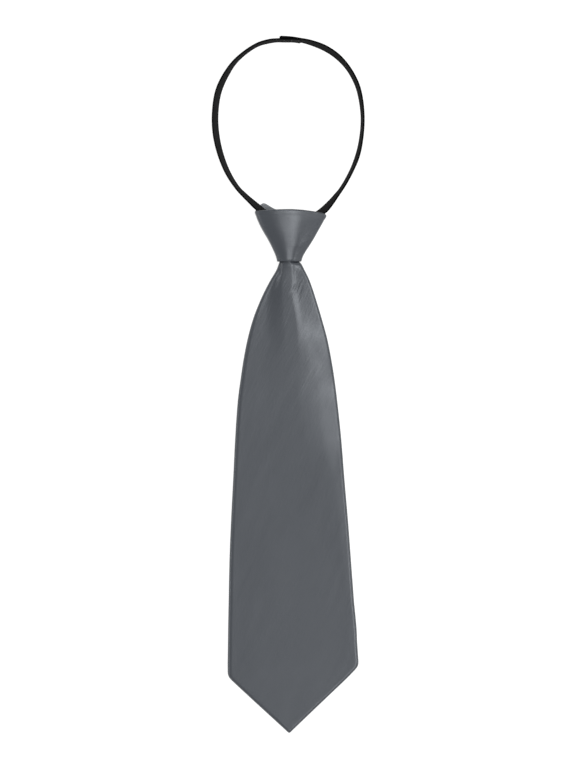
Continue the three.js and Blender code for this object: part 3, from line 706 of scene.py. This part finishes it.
DOWN = Vector((0, 0, -1))
LAP_ROWS = 3, 9, 14                # rows of the lap, in stations back from the strap's upper end
LAP_STITCHES, LAP_PITCH = 5, 0.96  # stitches in each of them, and the way between two, in mm
SEAM_FROM, SEAM_TO = 36.0, -104.0
SEAM_PITCH = 6.4
BAR_STITCHES, BAR_PITCH = 7, 0.26
KNOT_STITCHES, KNOT_PITCH = 6, 0.14    # the pitch as a share of the knot's height


def thread_stitch(name, length, radius):
    """One stitch along X, its sizes in mm: a short cylinder, swelled in the middle and sunk at
    its ends."""
    length, radius = length * MM, radius * MM
    deselect()
    bpy.ops.mesh.primitive_cylinder_add(vertices=8, radius=radius, depth=length,
                                        end_fill_type="TRIFAN", rotation=(0, math.pi / 2, 0))
    stitch = bpy.context.object
    stitch.name = name
    bpy.ops.object.transform_apply(location=False, rotation=True, scale=False)
    bpy.ops.object.mode_set(mode="EDIT")
    for cut in (-0.3, 0.0, 0.3):
        bpy.ops.mesh.select_all(action="SELECT")
        bpy.ops.mesh.bisect(plane_co=(cut * length, 0, 0), plane_no=(1, 0, 0))
    bpy.ops.object.mode_set(mode="OBJECT")
    for v in stitch.data.vertices:
        share = abs(v.co.x) / (length / 2)
        v.co.y *= 1 - 0.45 * share ** 4
        v.co.z *= 1 - 0.45 * share ** 4
        v.co.z -= radius * 0.9 * share ** 3
    for polygon in stitch.data.polygons:
        polygon.use_smooth = True
    return stitch


def sew(name, stitch, places):
    """Copies of one stitch, each at its own place and turn, joined into one piece."""
    copies = []
    for matrix in places:
        copy = stitch.copy()
        copy.data = stitch.data.copy()
        bpy.context.scene.collection.objects.link(copy)
        copy.matrix_world = matrix
        copies.append(copy)
    bpy.data.objects.remove(stitch)
    deselect()
    for copy in copies:
        copy.select_set(True)
    bpy.context.view_layer.objects.active = copies[0]
    bpy.ops.object.join()
    piece = bpy.context.object
    bpy.ops.object.transform_apply(location=True, rotation=True, scale=True)
    piece.name = piece.data.name = name
    return piece


def stitch_place(middle, along, look):
    """Place and turn of a stitch that runs along one direction and shows towards another."""
    x = along.normalized()
    z = (look - x * look.dot(x)).normalized()
    y = z.cross(x)
    turn = Matrix((x, y, z)).transposed().to_4x4()
    return Matrix.Translation(middle * MM) @ turn


def make_lap_stitches():
    """Three rows of dense stitches through the lap, on its outer and its inner face."""
    places = []
    for back in LAP_ROWS:
        for outside in (True, False):
            i = BAND_STATIONS - back if outside else LAP_ROWS[-1] + 2 - back
            middle, wide, face, ahead = strap_frame(i)
            look = face if outside else -face
            thin, slide = strap_taper(i)
            surface = middle + face * slide + look * (BAND_THICK / 2 * thin - 0.03)
            for k in range(LAP_STITCHES):
                up = (k - (LAP_STITCHES - 1) / 2) * LAP_PITCH
                tilt = ahead * (0.3 if k % 2 else -0.3)
                places.append(stitch_place(surface + wide * up, wide + tilt, look))
    return sew("lap_stitches", thread_stitch("lap_stitch", 1.1, THREAD), places)


def seam_at(y):
    left, right, _, _ = outline(y)
    return (left + right) / 2


def make_seam_stitches():
    """Slip stitches that close the back seam, showing as short slanting threads."""
    places = []
    y = SEAM_FROM
    k = 0
    while y > SEAM_TO:
        where = Vector((seam_at(y), y, blade["back"](y) + 0.05))
        places.append(stitch_place(where, Vector((1, 0.55, 0)), DOWN))
        y -= SEAM_PITCH + 0.5 * math.sin(k * 1.7)
        k += 1
    return sew("seam_stitches", thread_stitch("seam_stitch", 2.6, THREAD), places)


def make_bar_tack():
    """The dense bar of thread that holds the flaps together above the V."""
    places = []
    seam = seam_at(BAR_TACK_Y)
    for k in range(BAR_STITCHES):
        x = seam + 0.12 * math.sin(k * 2.1)
        where = Vector((x, BAR_TACK_Y + BAR_PITCH * k, 0.06))
        places.append(stitch_place(where, Vector((1, 0.02 * (-1) ** k, 0)), DOWN))
    return sew("bar_tack", thread_stitch("bar_stitch", 6.2, BAR_THREAD), places)


def make_knot_stitches():
    """Whip stitches along the lap at the back of the knot."""
    places = []
    for k in range(KNOT_STITCHES):
        y = mix(knot_rim(LAP_TO - 1), KNOT[0].y, KNOT_PITCH * (k + 1))
        x, _ = on_ring(knot_ring(y, 0), LAP_TO)
        places.append(stitch_place(Vector((x, y, 0.1)), Vector((1, 0.5, 0)), DOWN))
    return sew("knot_stitches", thread_stitch("knot_stitch", 1.9, THREAD), places)


# Materials

SATIN_GREYS = (0.0235, 0.0265, 0.032), (0.0272, 0.0307, 0.037)
PULLED_SPAN = -0.03, 0.045     # the streaks grow deeper between these two places up the tie, in m
HALF_ROUND = 0.0661            # half the way round the strap's section, on its own map
FACE_ROUND = 0.0529            # one face of it
RIB_TURN = 357.0               # brings the six ribs of that face to whole half waves


def link(output, socket):
    socket.id_data.links.new(output, socket)


def new_group(name, inputs, outputs):
    """An empty node group. Inputs are a name and a value, or None for a vector."""
    group = bpy.data.node_groups.new(name, "ShaderNodeTree")
    for label, value in inputs:
        kind = "NodeSocketVector" if value is None else "NodeSocketFloat"
        socket = group.interface.new_socket(label, in_out="INPUT", socket_type=kind)
        if value is not None:
            socket.default_value = value
    for label in outputs:
        group.interface.new_socket(label, in_out="OUTPUT", socket_type="NodeSocketFloat")
    return group, group.nodes.new("NodeGroupInput"), group.nodes.new("NodeGroupOutput")


def place_group(nodes, group, vector, values):
    node = nodes.new("ShaderNodeGroup")
    node.node_tree = group
    for key, value in values.items():
        node.inputs[key].default_value = value
    link(vector, node.inputs["Vector"])
    return node


def math_node(nodes, operation, *values):
    """One step of arithmetic on node outputs and numbers."""
    node = nodes.new("ShaderNodeMath")
    node.operation = operation
    for k, value in enumerate(values):
        if isinstance(value, (int, float)):
            node.inputs[k].default_value = value
        else:
            link(value, node.inputs[k])
    return node.outputs[0]


def map_range(nodes, value, low, high, start=0.3, end=0.7):
    """Brings a value between start and end to between low and high."""
    node = nodes.new("ShaderNodeMapRange")
    for label, number in zip(("From Min", "From Max", "To Min", "To Max"), (start, end, low, high)):
        node.inputs[label].default_value = number
    link(value, node.inputs["Value"])
    return node.outputs["Result"]


def parts_of(nodes, vector):
    node = nodes.new("ShaderNodeSeparateXYZ")
    link(vector, node.inputs[0])
    return node.outputs


def satin_streaks_group():
    """Long brushed streaks and soft mottling of a satin face."""
    group, start, end = new_group(
        "satin streaks", [("Vector", None), ("Streak Scale", 60.0), ("Mottle Scale", 6.0)],
        ["Streaks", "Mottle"])
    nodes = group.nodes
    for label, scale, squeeze, detail, rough in (("Streaks", "Streak Scale", 0.09, 5.0, 0.62),
                                                 ("Mottle", "Mottle Scale", 0.45, 3.0, 0.5)):
        stretch = nodes.new("ShaderNodeVectorMath")
        stretch.operation = "MULTIPLY"
        stretch.inputs[1].default_value = (1.0, squeeze, 1.0)
        link(start.outputs["Vector"], stretch.inputs[0])
        noise_node = nodes.new("ShaderNodeTexNoise")
        noise_node.inputs["Detail"].default_value = detail
        noise_node.inputs["Roughness"].default_value = rough
        link(stretch.outputs[0], noise_node.inputs["Vector"])
        link(start.outputs[scale], noise_node.inputs["Scale"])
        link(noise_node.outputs["Fac"], end.inputs[label])
    return group


def weave_group():
    """Crossing threads: long floats one way, fine ties the other."""
    group, start, end = new_group(
        "thread weave", [("Vector", None), ("Threads", 300.0), ("Cross Threads", 300.0)],
        ["Height"])
    nodes = group.nodes
    place = parts_of(nodes, start.outputs["Vector"])
    waves = [math_node(nodes, "SINE", math_node(nodes, "MULTIPLY", place[axis], start.outputs[key]))
             for axis, key in (("X", "Threads"), ("Y", "Cross Threads"))]
    height = math_node(nodes, "MULTIPLY_ADD", math_node(nodes, "MULTIPLY", *waves), 0.5, 0.5)
    link(height, end.inputs["Height"])
    return group


STREAKS = satin_streaks_group()
WEAVE = weave_group()


def new_material(name):
    material = bpy.data.materials.new(name)
    material.use_nodes = True
    nodes = material.node_tree.nodes
    return material, nodes, nodes["Principled BSDF"]


def cloth_map_place(nodes):
    place = nodes.new("ShaderNodeUVMap")
    place.uv_map = CLOTH_MAP
    return place.outputs[0]


def turned_by(nodes, vector, angle):
    node = nodes.new("ShaderNodeMapping")
    node.inputs["Rotation"].default_value = (0, 0, math.radians(angle))
    link(vector, node.inputs["Vector"])
    return node.outputs[0]


def paint(nodes, shader, dark, light, shade):
    """Base colour between two colours, by a shade from 0 to 1."""
    colour = nodes.new("ShaderNodeMix")
    colour.data_type = "RGBA"
    colour.inputs["A"].default_value = (*dark, 1)
    colour.inputs["B"].default_value = (*light, 1)
    link(shade, colour.inputs["Factor"])
    link(colour.outputs["Result"], shader.inputs["Base Color"])


def emboss(nodes, shader, height, strength, depth):
    """Relief of the given depth in mm that is too fine for the mesh."""
    bump = nodes.new("ShaderNodeBump")
    bump.inputs["Strength"].default_value = strength
    bump.inputs["Distance"].default_value = depth * MM
    link(height, bump.inputs["Height"])
    link(bump.outputs[0], shader.inputs["Normal"])


def satin(name, dark, light, rough, streak_angle, gloss):
    """Satin: streaks and mottling change its shade and polish, a fine weave breaks its sheen. The
    streaks stand out where the cloth is pulled together towards the knot."""
    material, nodes, shader = new_material(name)
    turned = turned_by(nodes, cloth_map_place(nodes), streak_angle)
    streaks = place_group(nodes, STREAKS, turned, {"Streak Scale": 95.0, "Mottle Scale": 9.0})
    weave = place_group(nodes, WEAVE, turned, {"Threads": 1500.0, "Cross Threads": 900.0})
    paint(nodes, shader, dark, light, math_node(
        nodes, "ADD", map_range(nodes, streaks.outputs["Streaks"], 0.0, 0.6),
        map_range(nodes, streaks.outputs["Mottle"], 0.0, 0.4)))
    link(map_range(nodes, streaks.outputs["Streaks"], rough + 0.03, rough - 0.03),
         shader.inputs["Roughness"])
    place = parts_of(nodes, nodes.new("ShaderNodeTexCoord").outputs["Object"])
    pulled = map_range(nodes, place["Y"], 0.9, 2.3, *PULLED_SPAN)
    emboss(nodes, shader, math_node(
        nodes, "MULTIPLY_ADD", weave.outputs["Height"], 0.25,
        math_node(nodes, "MULTIPLY", streaks.outputs["Streaks"], pulled)), 0.5, 0.05)
    shader.inputs["Specular IOR Level"].default_value = gloss
    shader.inputs["Specular Tint"].default_value = (0.91, 0.95, 1.0, 1)
    return material


def elastic_material():
    """Black elastic: covered ribs along its two faces, crossed by fine weft. Its colour is lighter on the
    crests of the ribs and darkest on the rounded edges: painted shade in the grooves and on the edges.
    """
    material, nodes, shader = new_material("black woven elastic")
    place = cloth_map_place(nodes)
    weave = place_group(nodes, WEAVE, place, {"Threads": 450.0, "Cross Threads": 1150.0})
    streaks = place_group(nodes, STREAKS, place, {"Streak Scale": 60.0, "Mottle Scale": 12.0})
    across = parts_of(nodes, place)["X"]
    # Lighter on the rib crests and darker in the grooves between them: painted shade between the ribs
    ribs = math_node(nodes, "ABSOLUTE", math_node(
        nodes, "SINE", math_node(nodes, "MULTIPLY", across, RIB_TURN)))
    thread = math_node(nodes, "MULTIPLY_ADD", weave.outputs["Height"], 0.3,
                       map_range(nodes, streaks.outputs["Mottle"], -0.1, 0.2))
    shade = math_node(nodes, "MULTIPLY_ADD", ribs, 0.6, thread)
    # The strap's rounded edges get the darkest colour: painted shade on the edges
    on_face = math_node(
        nodes, "LESS_THAN", math_node(nodes, "MODULO", across, HALF_ROUND), FACE_ROUND)
    shade = math_node(nodes, "MULTIPLY", shade, on_face)
    paint(nodes, shader, (0.0005, 0.0005, 0.0005), (0.018, 0.018, 0.0185), shade)
    link(map_range(nodes, weave.outputs["Height"], 0.82, 0.66), shader.inputs["Roughness"])
    emboss(nodes, shader, weave.outputs["Height"], 0.6, 0.1)
    shader.inputs["Specular IOR Level"].default_value = 0.03
    return material


def thread_material(name, dark, light):
    """Twisted sewing thread: slanting plies, lighter where they swell and darker between them: painted
    shade between the plies.
    """
    material, nodes, shader = new_material(name)
    place = nodes.new("ShaderNodeTexCoord").outputs["Object"]
    weave = place_group(nodes, WEAVE, turned_by(nodes, place, 35),
                        {"Threads": 16000.0, "Cross Threads": 5000.0})
    paint(nodes, shader, dark, light, weave.outputs["Height"])
    link(map_range(nodes, weave.outputs["Height"], 0.6, 0.42), shader.inputs["Roughness"])
    return material


def table_material():
    """A white table that glows a little, so that it stays white round the tie's soft shadow."""
    material, nodes, shader = new_material("white studio table")
    grain = nodes.new("ShaderNodeTexNoise")
    grain.inputs["Scale"].default_value = 6.0
    link(nodes.new("ShaderNodeTexCoord").outputs["Object"], grain.inputs["Vector"])
    paint(nodes, shader, (0.22, 0.22, 0.22), (0.25, 0.25, 0.25), grain.outputs["Fac"])
    shader.inputs["Roughness"].default_value = 0.9
    shader.inputs["Specular IOR Level"].default_value = 0.1
    shader.inputs["Emission Color"].default_value = (1, 1, 1, 1)
    shader.inputs["Emission Strength"].default_value = 0.87
    return material


# Making the tie

def wear(piece, *materials):
    """Gives a piece its materials: the first for its outer side, the second for its inner side."""
    marks = [polygon.material_index for polygon in piece.data.polygons]
    piece.data.materials.clear()
    for material in materials:
        piece.data.materials.append(material)
    for polygon, mark in zip(piece.data.polygons, marks):
        polygon.material_index = min(mark, len(materials) - 1)


blade_satin = satin("grey satin of the blade", *SATIN_GREYS, 0.34, 28, 0.6)
knot_satin = satin("grey satin of the knot", *SATIN_GREYS, 0.34, 90, 0.6)
facing_cloth = satin("facing satin", (0.026, 0.028, 0.032), (0.034, 0.037, 0.042), 0.48, 28, 0.3)
# The reverse of the satin is a matte side of its own. Its colour is also made far lighter than the face's
# as painted light, standing in for the direct light on the back lip inside the knot's mouth.
reverse_satin_with_painted_light = satin("reverse of the satin, lightened as painted light", (0.16, 0.168, 0.18), (0.2, 0.208, 0.222),
                      0.6, 28, 0.25)
black_elastic = elastic_material()
grey_thread = thread_material("grey thread", (0.05, 0.053, 0.058), (0.11, 0.115, 0.12))
black_thread = thread_material("black thread", (0.002, 0.002, 0.002), (0.009, 0.009, 0.0095))

blade_cloth = make_blade()
wear(blade_cloth, blade_satin, reverse_satin_with_painted_light)
point_facing = make_point_facing()
wear(point_facing, facing_cloth)
knot_cloth = make_knot()
wear(knot_cloth, knot_satin, reverse_satin_with_painted_light)
elastic_band = make_band()
wear(elastic_band, black_elastic)

lap_stitches = make_lap_stitches()
wear(lap_stitches, black_thread)
seam_stitches = make_seam_stitches()
bar_tack = make_bar_tack()
knot_stitches = make_knot_stitches()
for stitched in (seam_stitches, bar_tack, knot_stitches):
    wear(stitched, grey_thread)

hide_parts("blade")
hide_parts("tip_facing")
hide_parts("knot_wrap")
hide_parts("neck_band")
for piece in (blade_cloth, point_facing, knot_cloth, elastic_band, lap_stitches, seam_stitches,
              bar_tack, knot_stitches):
    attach(piece, "root")


# Table, light and camera

deselect()
bpy.ops.mesh.primitive_plane_add(size=12, location=(0, 0, -0.0002))
table = bpy.context.object
table.name = "studio_table"
wear(table, table_material())


def softbox(name, place, size, power):
    """A soft rectangular lamp that looks at the middle of the tie."""
    data = bpy.data.lights.new(name, "AREA")
    data.shape = "RECTANGLE"
    data.size, data.size_y = size
    data.energy = power
    lamp = bpy.data.objects.new(name, data)
    bpy.context.scene.collection.objects.link(lamp)
    lamp.location = place
    lamp.rotation_euler = (-Vector(place)).to_track_quat("-Z", "Y").to_euler()


softbox("key softbox", (2.0, -3.05, 9.32), (2.2, 2.2), 142.0)
softbox("right softbox", (3.05, -0.85, 9.5), (2.2, 2.2), 240.0)
softbox("side softbox", (2.75, -0.6, 1.75), (1.2, 1.2), 20.0)
softbox("left softbox", (-2.6, -0.5, 2.4), (1.4, 1.0), 22.0)
softbox("top softbox", (0.0, 2.3, 2.75), (1.2, 0.8), 30.0)

# White surroundings, brighter near the table than overhead
world = bpy.data.worlds.new("white studio")
bpy.context.scene.world = world
world.use_nodes = True
walls, background = world.node_tree.nodes, world.node_tree.nodes["Background"]
up = parts_of(walls, walls.new("ShaderNodeTexCoord").outputs["Generated"])["Z"]
link(map_range(walls, up, low=1.25, high=0.5, start=0.1, end=0.88), background.inputs["Strength"])
background.inputs["Color"].default_value = (1, 1, 1, 1)

bpy.context.scene.view_settings.view_transform = "Standard"
bpy.context.scene.view_settings.look = "None"

# Straight above the photo's middle, so far up that a pixel of the photo is PIXEL mm at the height
# of the tie's front
PIXEL, PHOTO_HEIGHT = 0.535, 768
PHOTO_MIDDLE_X, PHOTO_MIDDLE_Y, FRONT_Z = -0.16, -0.08, 4.0
LENS, SENSOR = 300, 36
lens = bpy.data.cameras.new("camera")
lens.lens = LENS
lens.sensor_width = SENSOR
lens.clip_end = 50
camera = bpy.data.objects.new("camera", lens)
bpy.context.scene.collection.objects.link(camera)
above = FRONT_Z + PIXEL * PHOTO_HEIGHT * LENS / SENSOR
camera.location = Vector((PHOTO_MIDDLE_X, PHOTO_MIDDLE_Y, above)) * MM
bpy.context.scene.camera = camera
